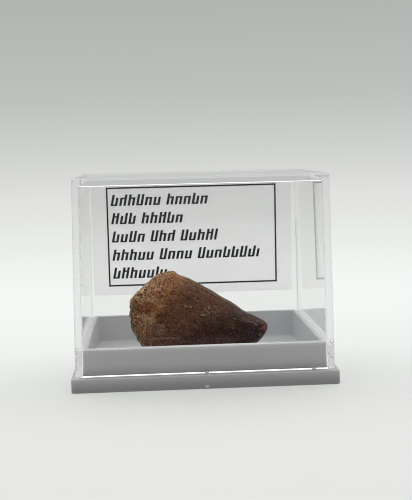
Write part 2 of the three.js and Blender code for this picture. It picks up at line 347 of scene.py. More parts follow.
# dark grey at the plate's foot: painted shade
GREY_PAINTED_SHADE = (0.245, 0.244, 0.247)
GREY_RIM = (0.665, 0.655, 0.66)
# pale grey of a painted highlight along the rim's top
GREY_PAINTED_HIGHLIGHT = (0.84, 0.835, 0.83)
# paler grey painted inside the tray as painted light; the gate mark's pale middle turns towards it too
GREY_INSIDE = (0.72, 0.727, 0.742)
CLEAR = (0.935, 0.938, 0.938)
PAPER_LOW = (0.97, 0.975, 0.968)
# grey of the painted shade at the card's top
PAPER_PAINTED_SHADE = (0.58, 0.585, 0.58)
PAPER_PAINTED_GLOW = 0.13  # strength of the card's painted glow, a light of its own
INK = (0.012, 0.012, 0.014)
DUST = (0.75, 0.75, 0.72)
WHITE = (1.0, 1.0, 1.0)


def grey_plastic(grain, speckle):
    """Moulded grey polystyrene: satin, duller inside the tray, uneven in gloss, a bit dusty. Its colour
    carries painted shade that darkens it towards the plate's foot, a painted highlight along the rim's top,
    and painted light that makes the inside of the tray paler.
    """
    material, g, shader, _ = new_material("grey_plastic", GREY_PAINTED_SHADE)
    place = g.place_mm()
    relief, patches = g.grain(grain, place, 5.0, Patches=0.12)
    height = g.part_of(place, "Z")
    inside = g.attribute("inside")
    # painted shade: darker towards the plate's foot, paler up the tray
    tone = g.mix(g.span(height, 0.3, 6.0), GREY_PAINTED_SHADE, GREY_RIM)
    # painted highlight: paler over the top 1.2 mm of the rim
    tone = g.mix(g.span(height, RIM_TOP - 1.2, RIM_TOP), tone, GREY_PAINTED_HIGHLIGHT)
    # painted light: the inside of the tray paler
    tone = g.mix(inside, tone, GREY_INSIDE)
    tone = g.mix(g.times(patches, 0.008), tone, WHITE)
    dust = g.specks(speckle, place, 1.1, 0.05, 0.05, 0.18)
    colour = g.mix(g.times(dust, 0.25), tone, DUST)
    rough = g.blend(inside, g.blend(patches, 0.23, 0.26), 0.6)
    bump = g.bump(relief, 0.12, 0.05)
    g.feed(shader, {"Base Color": colour, "Roughness": rough, "Normal": bump, "IOR": 1.52})
    return material


def clear_plastic(grain):
    """Clear moulded polystyrene: faintly wavy, dull at its foot, slightly tinted through its thickness.
    Shadow rays pass it unbent, so that light comes into the box."""
    material, g, shader, output = new_material("clear_plastic", CLEAR)
    place = g.place_mm()
    waves, _ = g.grain(grain, place, 0.05, Detail=1.0)
    foot = PLATE_TOP + 0.05
    inputs = {
        "Base Color": CLEAR,
        "Roughness": g.span(g.part_of(place, "Z"), foot, foot + 0.07, 0.35, 0.01),
        "IOR": 1.57,
        "Transmission Weight": 1.0,
        "Specular Tint": (0.05, 0.05, 0.05),
        "Normal": g.bump(waves, 0.04, 0.12),
    }
    g.feed(shader, inputs)
    through = g.add("BsdfTransparent", {"Color": (0.99, 0.99, 0.99)})
    lamp_ray = g.add("LightPath", {}, output="Is Shadow Ray")
    both = g.add("MixShader", {0: lamp_ray, 1: shader.outputs[0], 2: through})
    absorb = g.add("VolumeAbsorption", {"Color": (0.45, 0.42, 0.56), "Density": 3.5})
    g.feed(output, {"Surface": both, "Volume": absorb})
    return material


def card_paper(grain):
    """Matt white card with a faint fibre, a little translucent, with painted shade greying it towards its top
    and a painted glow, strongest low down, that brightens it.
    """
    material, g, shader, _ = new_material("card_paper", PAPER_LOW)
    place = g.place_mm()
    fibre, clouds = g.grain(grain, place, 7.0, Patches=0.06)
    # painted shade: the card greyer towards its top
    painted_shade_share = g.span(g.part_of(place, "Z"), CARD_LOW[2], CARD_HIGH[2])
    colour = g.mix(painted_shade_share, PAPER_LOW, PAPER_PAINTED_SHADE)
    inputs = {
        "Base Color": g.mix(g.times(clouds, 0.03), colour, PAPER_PAINTED_SHADE),
        "Roughness": 0.92,
        "Normal": g.bump(fibre, 0.15, 0.02),
        "Subsurface Weight": 1.0,
        "Subsurface Radius": (1.0, 1.0, 1.0),
        "Subsurface Scale": 2.5 * MM,
        # painted light: the card glows faintly, most near its foot
        "Emission Color": g.mix(painted_shade_share, WHITE, (0.1, 0.1, 0.1)),
        "Emission Strength": PAPER_PAINTED_GLOW,
    }
    g.feed(shader, inputs)
    return material


def printed_ink(grain):
    """Black laser print: nearly matt, a little uneven."""
    material, g, shader, _ = new_material("printed_ink", INK)
    _, uneven = g.grain(grain, g.place_mm(), 9.0, Patches=1.2)
    lighter = tuple(2.2 * c for c in INK)
    g.feed(shader, {"Base Color": g.mix(uneven, INK, lighter), "Roughness": 0.6})
    return material


# Colours of the tooth.
TAN = (0.36, 0.196, 0.105)
ORANGE = (0.27, 0.118, 0.053)
PINK = (0.27, 0.135, 0.08)
ROSE = (0.23, 0.104, 0.056)
RED = (0.2, 0.062, 0.026)
GOLDEN = (0.27, 0.122, 0.044)
OLIVE = (0.32, 0.177, 0.08)
UMBER = (0.098, 0.03, 0.008)
ENAMEL_BROWN = (0.13, 0.052, 0.025)
ENAMEL_BLACK = (0.034, 0.011, 0.007)
EDGE_OLIVE = (0.115, 0.062, 0.026)
# grey-brown of a painted sheen on the tip's edges
TIP_PAINTED_SHEEN = (0.1, 0.058, 0.045)
GREY_BROWN = (0.19, 0.106, 0.068)
RUST = (0.155, 0.07, 0.045)
TIP_RED = (0.17, 0.052, 0.042)
INDIGO = (0.028, 0.014, 0.024)
# pinkish grey of a painted sheen low along the crown's front
LOW_PAINTED_SHEEN = (0.088, 0.046, 0.035)
GOLD_BROWN = (0.08, 0.04, 0.016)
BLOOD = (0.055, 0.018, 0.011)
MATRIX_GREEN = (0.25, 0.15, 0.077)
MATRIX_GREY = (0.5, 0.34, 0.205)
GRAIN_PALE = (0.58, 0.35, 0.21)
FLECK_PALE = (0.4, 0.29, 0.23)
FLECK_GOLD = (0.17, 0.1, 0.03)
# bluish white of a painted highlight near the tip
TIP_PAINTED_HIGHLIGHT = (0.25, 0.25, 0.28)
PORE = (0.02, 0.011, 0.007)


def fossil(grain, speckle):
    """The tooth's stains, painted sheens and a painted highlight come from the mesh, mottled and tinged by
    noise. Its enamel has lengthwise streaks and flecks, its root and rock have pale grains and dark pores."""
    material, g, shader, _ = new_material("fossil", ENAMEL_BROWN)
    place = g.place_mm()
    bone = g.math("MAXIMUM", g.attribute("root"), g.attribute("rock"))
    section = g.attribute("section", "Vector")
    long_way = g.add("VectorMath", {0: section, 1: (1.0, 1.0, 0.4)}, operation="MULTIPLY")
    crumb = g.noise(place, 2.5, 3.0, 0.6)
    dusting = g.noise(place, 2.9, 1.0)
    tinge = g.noise(place, 2.3, 1.0)
    mottle = g.noise(place, 1.1, 2.0)
    streak = g.noise(long_way, 13.0, 3.0, 0.6)
    hair = g.noise(long_way, 38.0, 2.0)

    lined = g.times(g.swing(streak, 0.8, 1.2), g.swing(hair, 0.78, 1.22))
    mottled = g.times(lined, g.swing(dusting, 0.4, 1.6))
    factor = g.blend(bone, mottled, g.span(crumb, 0.36, 0.64, 0.4, 1.6))
    factor = g.times(factor, g.span(mottle, 0.3, 0.7, 0.85, 1.15))
    green = g.times(g.math("POWER", factor, 1.2), g.swing(tinge, 0.87, 1.13))
    blue = g.times(g.math("POWER", factor, 1.35), g.swing(tinge, 0.8, 1.2))
    shade = g.add("CombineColor", {0: factor, 1: green, 2: blue})
    colour = g.mix(1.0, g.attribute("colour_and_sheen", "Color"), shade, "MULTIPLY")

    grains = g.times(g.specks(speckle, place, 2.0, 0.2, 0.18, 0.4), bone)
    colour = g.mix(g.times(grains, 0.55), colour, GRAIN_PALE)
    pores = g.specks(speckle, place, 1.6, 0.17, 0.16, 0.4)
    pores = g.times(pores, g.blend(bone, 0.2, 0.85))
    pitted = g.math("MAXIMUM", pores, g.times(g.attribute("pit"), 0.9))
    colour = g.mix(pitted, colour, PORE)
    dots = g.specks(speckle, place, 1.7, 0.22, 0.16, 0.55)
    for mask, share, tone in (("fleck", 0.75, FLECK_PALE), ("gold", 0.85, FLECK_GOLD)):
        flecks = g.times(g.attribute(mask), dots)
        colour = g.mix(g.times(flecks, share), colour, tone)

    relief, patches = g.grain(grain, place, 6.0, Patches=0.5)
    hairs = g.times(hair, g.math("SUBTRACT", 1.0, bone))
    height = g.math("ADD", g.times(relief, 0.5), hairs)
    height = g.math("SUBTRACT", height, g.times(g.times(pitted, bone), 0.8))
    inputs = {
        "Base Color": colour,
        "Roughness": g.blend(bone, g.blend(patches, 0.42, 0.56), 0.85),
        "Normal": g.bump(height, 0.5, 0.1),
        "IOR": 1.5,
        "Specular IOR Level": 0.12,
    }
    g.feed(shader, inputs)
    return material


# ---- The grey base ----


def make_base(material):
    """One closed surface: a profile carried round a rounded rectangle, from the middle of the underside's
    recess to the plate's edge, up and in to the tray's rim, and down to the middle of its floor."""
    half_x, half_y = BASE_HIGH[:2]
    lean = math.tan(math.radians(TRAY_DRAFT))
    tray_x = LID_HIGH[0] - LID_WALL - LID_CLEARANCE
    rim_x = tray_x - (RIM_TOP - PLATE_TOP) * lean
    inner_x = rim_x - RIM_WALL
    recess_x = half_x - RECESS_RIM
    corners = [
        (recess_x - 1.0, RECESS_DEPTH, 0.5, 0),
        (recess_x, RECESS_DEPTH, 0.5, 0.3),
        (recess_x, 0.0, 0.6, 0.12),
        (half_x, 0.0, 0.7, 0.22),
        (half_x, PLATE_TOP, 0.7, 0.25),
        (tray_x, PLATE_TOP, 0.9, 0.15),
        (rim_x, RIM_TOP, 0.9, 0.6),
        (inner_x, RIM_TOP, 0.5, 0.25),
        (inner_x, TRAY_FLOOR, 0.5, 0.4),
        (inner_x - 1.0, TRAY_FLOOR, 0.5, 0),
    ]
    across, height, plan = rounded_path(corners)
    plate_slimmer = half_x - half_y
    tray_slimmer = LID_HIGH[0] - LID_HIGH[1]
    inside = np.arange(len(across)) > np.argmax(height)
    on_tray = np.clip((half_x - across) / (half_x - tray_x), 0, 1) * (height > PLATE_TOP - 0.5)
    on_tray = np.where(inside | (height > PLATE_TOP + 0.01), 1.0, on_tray)
    slimmer = plate_slimmer + (tray_slimmer - plate_slimmer) * on_tray
    points = carried_round(across, across - slimmer, height, plan)
    rings, around = points.shape[:2]
    base = make_piece("tray_base", points, grid_faces(rings, around), material)
    store_values(base, "inside", inside[:, None] + np.zeros(around))
    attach(base, "root")
    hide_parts("display_base")


DOME_RINGS = 7
DOME_SUNK = 0.1  # how far a dome's skirt goes into the plate
GATE = {"x": 0.1, "z": 0.62, "half_width": 0.75, "half_height": 0.45, "proud": 0.16, "paleness": 0.55}
STUD = {"half_width": 0.5, "half_depth": 0.22, "height": 0.6, "before_lid": 0.26}
STUDS = (0.17, 24.26)  # X of the small studs on the plate before the lid


def make_gate_mark(material):
    """The moulding gate's stub on the plate's front: a low oval dome, its height a half cosine of the way
    out from its middle, which is pale."""
    r = np.linspace(1, 0.04, DOME_RINGS)[:, None]
    turn = once_round(24)
    x = GATE["x"] + GATE["half_width"] * r * np.cos(turn)
    y = BASE_LOW[1] - GATE["proud"] * np.cos(r * math.pi / 2) + 0 * turn
    z = GATE["z"] + GATE["half_height"] * r * np.sin(turn)
    skin = np.stack((x, y, z), axis=-1)
    points = np.concatenate((skin[:1] + (0, DOME_SUNK, 0), skin))
    mark = make_piece("gate_mark", points, grid_faces(*points.shape[:2]), material)
    pale = GATE["paleness"] * np.clip(2.2 - 2.6 * np.concatenate((r[:1], r)), 0, 1)
    store_values(mark, "inside", pale + 0 * turn)
    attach(mark, "root")


def make_studs(material):
    """Small studs before the lid's front wall: half ellipsoids on the plate."""
    up = np.radians(np.linspace(0, 87, DOME_RINGS))[:, None]
    turn = once_round(20)
    x = STUD["half_width"] * np.cos(up) * np.cos(turn)
    y = STUD["half_depth"] * np.cos(up) * np.sin(turn)
    dome = np.stack((x, y, STUD["height"] * np.sin(up) + 0 * turn), axis=-1)
    shape = np.concatenate((dome[:1] - (0, 0, DOME_SUNK), dome))
    places = [(at_x, LID_LOW[1] - STUD["before_lid"], PLATE_TOP) for at_x in STUDS]
    points = np.array([shape + place for place in places])
    faces = grid_faces(*shape.shape[:2])
    faces += [[n + shape.size // 3 for n in face] for face in faces]
    studs = make_piece("lid_studs", points, faces, material)
    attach(studs, "root")


# ---- The clear lid ----


def make_lid(material):
    """One closed shell: a profile carried round a rounded rectangle, from the middle of the ceiling down
    the inner walls, round the foot, and up the outer walls to the middle of the top."""
    lean = math.tan(math.radians(LID_DRAFT_X))
    rise = LID_HIGH[2] - PLATE_TOP
    foot = LID_HIGH[0]
    ceiling = LID_HIGH[2] - LID_CEILING
    inner_top = foot - LID_WALL - (ceiling - PLATE_TOP) * lean
    outer_top = foot - rise * lean
    corners = [
        (inner_top - 1.0, ceiling, 0.3, 0),
        (inner_top, ceiling, 0.3, 0.25),
        (foot - LID_WALL, PLATE_TOP + LID_LIFT, 0.35, 0.4),
        (foot, PLATE_TOP + LID_LIFT, 0.4, 0.12),
        (outer_top, LID_HIGH[2], 0.4, 0.15),
        (outer_top - 1.0, LID_HIGH[2], 0.35, 0),
    ]
    across, height, plan = rounded_path(corners)
    extra_lean = math.tan(math.radians(LID_DRAFT_Y)) - lean
    slimmer = LID_HIGH[0] - LID_HIGH[1] + (height - PLATE_TOP) * extra_lean
    points = carried_round(across, across - slimmer, height, plan)
    lid = make_piece("hood_lid", points, grid_faces(*points.shape[:2]), material)
    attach(lid, "root")
    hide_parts("clear_lid")


# ---- The label card and its print ----

CARD_CORNER = 0.15
CARD_EDGE = 0.04  # depth of the dulled edge
CARD_FACE = 0.999  # the card's size at its faces
PRINT_PROUD = 0.02  # thickness of the print on the card
BORDER = {"left": -22.9, "right": 22.1, "bottom": 17.1, "top": 43.5, "line": 0.42}
ROWS = {"baseline": 38.6, "pitch": 4.85, "x_height": 2.15, "tall": 2.95, "tall_share": 0.3, "left": -21.8}
WORDS = ((12, 10), (6, 10), (8, 6, 9), (10, 8, 15), (13,))  # strokes in each word, row by row
STROKE = {"width": 0.62, "pitch": 1.12, "slant": 0.21, "word_gap": 1.25, "join": 0.4}


def on_card(x, z, proud):
    """A point of the card's leaning face at a place across and up it, standing out by proud."""
    tilt = math.tan(math.radians(LID_DRAFT_Y))
    before_wall = CARD_HIGH[1] - CARD_LOW[1] - (CARD_HIGH[2] - CARD_LOW[2]) * tilt
    wall = LID_HIGH[1] - LID_WALL - (z - PLATE_TOP) * tilt
    return np.stack((x, wall - before_wall - proud, z), axis=-1)


def make_card(material):
    """A thin sheet parallel to the back wall: four rings from back to front, the outer two a bit smaller."""
    across = np.array((CARD_FACE, 1.0, 1.0, CARD_FACE))
    depth = np.array((0.0, CARD_EDGE, CARD_THICKNESS - CARD_EDGE, CARD_THICKNESS))
    middle = (CARD_HIGH + CARD_LOW) / 2
    half = (CARD_HIGH - CARD_LOW) / 2
    flat = carried_round(half[0] * across, half[2] * across, depth, np.full(4, CARD_CORNER))
    points = on_card(flat[..., 0] + middle[0], flat[..., 1] + middle[2], flat[..., 2] - CARD_THICKNESS)
    card = make_piece("label_sheet", points, grid_faces(*points.shape[:2]), material, smooth=False)
    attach(card, "root")
    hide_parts("label_card")


def bars_on_card(low_x, high_x, low_z, high_z, slant):
    """Thin bars on the card, one for each place in the arrays, leaning by the slant."""
    x = np.stack((low_x, high_x, high_x, low_x), axis=-1)
    z = np.stack((low_z, low_z, high_z, high_z), axis=-1)
    x = x + slant[:, None] * (z - low_z[:, None])
    points = np.concatenate((on_card(x, z, 0.0), on_card(x, z, PRINT_PROUD)), axis=1)
    cube = ((0, 1, 5, 4), (1, 2, 6, 5), (2, 3, 7, 6), (3, 0, 4, 7), (4, 5, 6, 7), (3, 2, 1, 0))
    faces = (np.array(cube) + 8 * np.arange(len(low_x))[:, None, None]).reshape(-1, 4)
    return points, faces.tolist()


def make_print(material):
    """The border, and rows of slanted strokes joined in pairs, which stand for words but spell none."""
    left, right, bottom, top, line = BORDER.values()
    bars = [
        (left, right, bottom, bottom + line, 0.0),
        (left, right, top - line, top, 0.0),
        (left, left + line, bottom + line, top - line, 0.0),
        (right - line, right, bottom + line, top - line, 0.0),
    ]
    rng = np.random.default_rng(11)
    slant = STROKE["slant"]
    for row, words in enumerate(WORDS):
        baseline = ROWS["baseline"] - row * ROWS["pitch"]
        x = ROWS["left"]
        for strokes in words:
            tall = rng.random(strokes) < ROWS["tall_share"]
            tall[0] = True
            for number, is_tall in enumerate(tall):
                rise = ROWS["tall"] if is_tall else ROWS["x_height"]
                bars.append((x, x + STROKE["width"], baseline, baseline + rise, slant))
                if number % 2 == 0 and number + 1 < strokes:
                    up = rng.choice((0.0, ROWS["x_height"] - STROKE["join"]))
                    low_x, low_z = x + slant * up + STROKE["width"], baseline + up
                    high_x = low_x + STROKE["pitch"] - STROKE["width"]
                    bars.append((low_x, high_x, low_z, low_z + STROKE["join"], slant))
                x += STROKE["pitch"]
            x += STROKE["word_gap"]
    points, faces = bars_on_card(*np.array(bars).T)
    ink = make_piece("label_print", points, faces, material, smooth=False)
    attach(ink, "root")


# ---- The tooth ----

# Stations: X, upper outline, lower outline, half thickness.
TOOTH_STATIONS = np.array((
    (-16.95, 18.4, 10.4, 4.6), (-16.35, 19.6, 8.8, 5.6), (-14.9, 21.0, 6.2, 6.8), (-12.0, 22.3, 3.2, 7.8),
    (-9.0, 23.05, 2.2, 8.2), (-6.8, 23.3, 2.1, 8.3), (-4.3, 22.4, 2.1, 8.1), (-2.1, 21.5, 2.2, 7.9),
    (3.0, 18.5, 2.2, 7.1), (5.2, 17.0, 2.2, 6.6), (8.5, 14.95, 2.4, 5.7), (11.1, 12.9, 3.1, 4.9),
    (13.0, 11.95, 4.3, 4.2), (14.9, 11.0, 5.75, 3.2), (16.0, 10.3, 7.05, 2.4), (16.5, 9.8, 8.0, 1.7),
))
TOOTH_AXIS_Y = -0.4
TOOTH_BEND = 1.2  # how far the tip leans back
# The slanting break of the root: height over the first station, slopes, and the rim's worn width.
BREAK = {"height": 16.6, "along_x": 1.0, "along_y": -0.05, "worn": 0.5}
# The crown's margin on the side of the tooth: height, and X there.
MARGIN = np.array((
    (3.0, -12.4), (8.9, -13.1), (10.7, -12.5), (12.7, -12.4), (15.1, -11.9),
    (17.9, -10.5), (19.0, -9.4), (20.3, -8.0), (21.5, -6.6), (23.3, -5.1),
))
# The edge of the rock left on the root, beside the break: height, and X there.
ROCK_EDGE = np.array((
    (6.5, -13.7), (8.7, -14.6), (10.0, -15.3), (11.4, -15.9), (13.6, -16.3), (15.7, -15.9),
    (17.1, -15.2), (18.4, -14.4), (19.8, -13.4), (21.1, -12.4), (22.3, -11.2), (23.0, -9.6),
))
# Holes in the front side's rock: X, height, radius and depth.
HOLES = (
    (-16.7, 14.7, 0.5, 0.5), (-16.8, 11.2, 0.5, 0.5), (-16.1, 16.1, 0.35, 0.4),
    (-15.4, 16.9, 0.35, 0.4), (-15.3, 9.3, 0.3, 0.3), (-17.1, 12.4, 0.5, 0.6),
)
# The cutting edges: angle round the section from +Y over the top, height, and width as an angle.
CARINAE = ((1.95, 0.22, 0.06), (-1.4, 0.35, 0.15))
FLUTE_COUNT, FLUTE_DEPTH, FLUTE_TWIST = 11, 0.05, 0.25
RINGS_ROOT, RINGS_CROWN, RINGS_TIP = 118, 96, 36
RINGS_ROOT_END, RINGS_TIP_END = 28, 8
RING_POINTS = 340
END_BULGE = 0.25  # how far each end stands out beyond its last station


def smoothstep(value, low, high):
    """0 below low, 1 above high, with a smooth S between."""
    t = np.clip((value - low) / (high - low), 0, 1)
    return t * t * (3 - 2 * t)


def bump_between(value, start, full, fading, end):
    """0 up to the start, 1 between full and fading, and 0 again past the end."""
    return smoothstep(value, start, full) * (1 - smoothstep(value, fading, end))


def through_stations(column, x):
    """Cubic pieces through the stations, with the slope between its neighbours at each station."""
    s = TOOTH_STATIONS
    n = len(s)
    before = np.maximum(np.arange(n) - 1, 0)
    after = np.minimum(np.arange(n) + 1, n - 1)
    slope = (s[after, column] - s[before, column]) / (s[after, 0] - s[before, 0])
    i = np.clip(np.searchsorted(s[:, 0], x) - 1, 0, n - 2)
    width = s[i + 1, 0] - s[i, 0]
    t = np.clip((x - s[i, 0]) / width, 0, 1)
    rise = s[i + 1, column] - s[i, column]
    start, end = width * slope[i] - rise, rise - width * slope[i + 1]
    return s[i, column] + t * rise + t * (1 - t) * ((1 - t) * start + t * end)


def hashed(cell, seed):
    """Repeatable numbers from 0 to 1 for whole-number cells, by mixing their bits."""
    with np.errstate(over="ignore"):
        h = np.uint32(seed) * np.uint32(0x9E3779B1)
        for axis, factor in enumerate((0x8DA6B343, 0xD8163841, 0xCB1AB31F)):
            h = h ^ cell[..., axis] * np.uint32(factor)
        for shift, factor in ((15, 0x2C1B3C6D), (12, 0x297A2D39), (15, 1)):
            h = (h ^ h >> np.uint32(shift)) * np.uint32(factor)
    return h / 2.0**32


def cells_of(points):
    """The whole-number cell of each point, as unsigned numbers."""
    return np.floor(points).astype(np.int64).astype(np.uint32)


def lump_noise(points, size, seed):
    """Smooth noise from -1 to 1 with features of the given size: hashed corner values, eased between."""
    p = points / size
    cell = cells_of(p)
    t = p - np.floor(p)
    t = t * t * (3 - 2 * t)
    total = np.zeros(points.shape[:-1])
    for corner in np.ndindex(2, 2, 2):
        weight = np.prod(np.where(corner, t, 1 - t), axis=-1)
        total += weight * hashed(cell + np.array(corner, np.uint32), seed)
    return 2 * total - 1


def pit_depth(points, size, seed, share):
    """Round pits, one at most in each cell and only in a share of them: 1 at a pit's centre, 0 at its rim."""
    p = points / size
    cell = cells_of(p)
    deepest = np.zeros(points.shape[:-1])
    for step in np.ndindex(3, 3, 3):
        shift = np.array(step) - 1
        near = cell + shift.astype(np.int64).astype(np.uint32)
        corner = np.floor(p) + shift
        centre = corner + np.stack([0.2 + 0.6 * hashed(near, seed + k) for k in range(3)], axis=-1)
        reach = 0.25 + 0.35 * hashed(near, seed + 3)
        held = hashed(near, seed + 4) < share
        gap = np.linalg.norm(p - centre, axis=-1) / reach
        deepest = np.maximum(deepest, held * (1 - smoothstep(gap, 0.35, 1.0)))
    return deepest


def worn_min(a, b, width):
    """The lower of two heights, blended over the width where they cross."""
    h = np.clip(width - np.abs(a - b), 0, None) / width
    return np.minimum(a, b) - h * h * width / 4


def tooth_rings():
    """Each ring's X, how far it is drawn in to its middle, and its push beyond the end station."""
    first, last = TOOTH_STATIONS[0, 0], TOOTH_STATIONS[-1, 0]
    crown, tip = -6.0, 12.0
    x = np.concatenate((
        np.linspace(first, crown, RINGS_ROOT, endpoint=False),
        np.linspace(crown, tip, RINGS_CROWN, endpoint=False),
        tip + (last - tip) * (1 - (1 - np.linspace(0, 1, RINGS_TIP)) ** 1.5),
    ))
    root_in = np.arange(RINGS_ROOT_END, 0, -1) / (RINGS_ROOT_END + 0.3)
    tip_in = np.arange(1, RINGS_TIP_END + 1) / (RINGS_TIP_END + 0.3)
    places = np.concatenate((np.full(RINGS_ROOT_END, first), x, np.full(RINGS_TIP_END, last)))
    drawn = np.concatenate((root_in, np.zeros(len(x)), tip_in))
    return places, drawn, END_BULGE * np.sign(places) * np.sqrt(1 - (1 - drawn) ** 2)


def tooth_form():
    """The tooth without fine relief, as a grid of rings: ovals between the outlines with faint flutes and
    two sharp edges, cut above by the break. Also each point's share in the break and place in its ring."""
    place, drawn, push = (a[:, None] for a in tooth_rings())
    angle = 2 * math.pi * (np.arange(RING_POINTS) + 0.5) / RING_POINTS - math.pi
    top, bottom, half = (through_stations(c, place) for c in (1, 2, 3))
    tall = (top - bottom) / 2
    centre_y = TOOTH_AXIS_Y + TOOTH_BEND * smoothstep(place, 0, 17)
    across, up = np.cos(angle), np.sin(angle)
    squareness = 0.95
    y = centre_y + half * np.sign(across) * np.abs(across) ** squareness
    z = bottom + tall * (1 + np.sign(up) * np.abs(up) ** squareness)
    unworn = (1 - smoothstep(place, 12.5, 16)) * smoothstep(place, -11, -6)
    flutes = FLUTE_DEPTH * np.cos(FLUTE_COUNT * angle + FLUTE_TWIST * place)
    edges = sum(rise * np.exp(-(((angle - at) / width) ** 2)) for at, rise, width in CARINAE)
    out = unworn * (flutes + edges * smoothstep(place, -8, -2))
    y = y + out * across
    z = z + out * up
    x = place + 0 * angle
    plan = np.stack((x, y, 0 * x + 11.0), axis=-1)
    rough = 0.3 * lump_noise(plan, 2.1, 5) + 0.2 * lump_noise(plan, 1.1, 6)
    past_first = x - TOOTH_STATIONS[0, 0]
    cut = BREAK["height"] + BREAK["along_x"] * past_first + BREAK["along_y"] * y + rough
    broken = smoothstep(z - cut, -0.25, 0.35)
    z = worn_min(z, cut, BREAK["worn"])
    points = np.stack((x, y, z), axis=-1)
    middle = points.mean(axis=1, keepdims=True)
    points = points + (middle - points) * drawn[..., None]
    points[..., 0] += push * (1 + 0.5 * lump_noise(points, 1.6, 7))
    section = np.stack((across + 0 * place, up + 0 * place, 0.05 * x), axis=-1)
    section[..., :2] *= (0.35 + 0.65 * tall / tall.max())[..., None]
    return points, broken, section


def surface_normals(points):
    """Unit normals of a grid that closes round its rings, from the steps between neighbours."""
    along = np.gradient(points, axis=0)
    around = np.roll(points, -1, axis=1) - np.roll(points, 1, axis=1)
    normal = np.cross(around, along)
    return normal / np.maximum(np.linalg.norm(normal, axis=-1, keepdims=True), 1e-9)


def tooth_zones(points, broken):
    """Each point's shares of root and of rock, which covers the break and the worn edge beside it, and how
    far it lies past the crown's margin towards the tip."""
    x, y, z = np.moveaxis(points, -1, 0)
    ragged = 0.35 * lump_noise(points, 2.6, 21) + 0.3 * lump_noise(points, 0.9, 22)
    past = x - np.interp(z, MARGIN[:, 0], MARGIN[:, 1]) + ragged
    root = 1 - smoothstep(past, -0.6, 0.3)
    crumbling = 0.35 * lump_noise(points, 1.1, 24) + 0.25 * lump_noise(points, 0.5, 25)
    beside = x - np.interp(z, ROCK_EDGE[:, 0], ROCK_EDGE[:, 1]) + crumbling
    on_break = smoothstep(broken + 0.25 * crumbling, 0.35, 0.65)
    return root, np.maximum(on_break, 1 - smoothstep(beside, -0.2, 0.2)), past


def hole_share(points):
    """The holes in the front's rock, as bells around their centres, and the depth that they make."""
    x, y, z = np.moveaxis(points, -1, 0)
    share, depth = np.zeros((2, *x.shape))
    for at_x, at_z, radius, deep in HOLES:
        bell = np.exp(-(((x - at_x) ** 2 + (z - at_z) ** 2) / radius**2)) * (y < 0)
        share = np.maximum(share, bell)
        depth = np.maximum(depth, deep * bell)
    return share, depth


def tooth_relief(points, root, rock, past, section):
    """How far the surface stands out along its normal, and the pits' share: lumps, crumbs and pits of two
    sizes on root and rock, striae along the enamel, and a proud collar at the margin."""
    bone = np.maximum(root, rock)
    lumps = 0.16 * lump_noise(points, 2.2, 31) + 0.11 * lump_noise(points, 0.9, 32)
    lumps += rock * (0.22 * lump_noise(points, 1.3, 34) - 0.05)
    crumbs = 0.07 * lump_noise(points, 0.4, 33)
    coarse = pit_depth(points, 0.9, 41, 0.1 + 0.5 * rock)
    fine = pit_depth(points, 0.5, 51, 0.5)
    pits = np.maximum(coarse, 0.75 * fine)
    striae = lump_noise(section * (14, 14, 6), 1.0, 61) + 0.5 * lump_noise(section * (33, 33, 9), 1.0, 62)
    enamel = 0.03 * striae + 0.05 * lump_noise(points, 1.8, 63)
    worn = 1 - smoothstep(points[..., 0], 13, 16)
    collar = 0.3 * bump_between(past, -3, -0.6, -0.6, 0.5) * smoothstep(points[..., 2], 12, 20)
    holes, depth = hole_share(points)
    relief = bone * (lumps + crumbs - 0.3 * pits - 0.05) + (1 - bone) * worn * enamel + collar - depth
    return relief, np.maximum(pits * bone, holes)


# The crown's colours, from amber at the margin over the top, through browns, to blue-black under the tip.
CROWN_COLOURS = (
    (-13.5, (0.205, 0.086, 0.033)), (-11.2, (0.16, 0.066, 0.028)),
    (-9.5, ENAMEL_BROWN), (-5.5, (0.12, 0.047, 0.026)),
    (-2.5, (0.1, 0.043, 0.026)), (-0.5, (0.084, 0.037, 0.025)),
    (1.4, (0.057, 0.021, 0.013)), (3.8, (0.04, 0.012, 0.006)),
    (7.5, ENAMEL_BLACK), (12.0, (0.037, 0.015, 0.014)),
)
CROWN_SHADE = 9.5  # the colours run this far towards the tip over the top, and back underneath
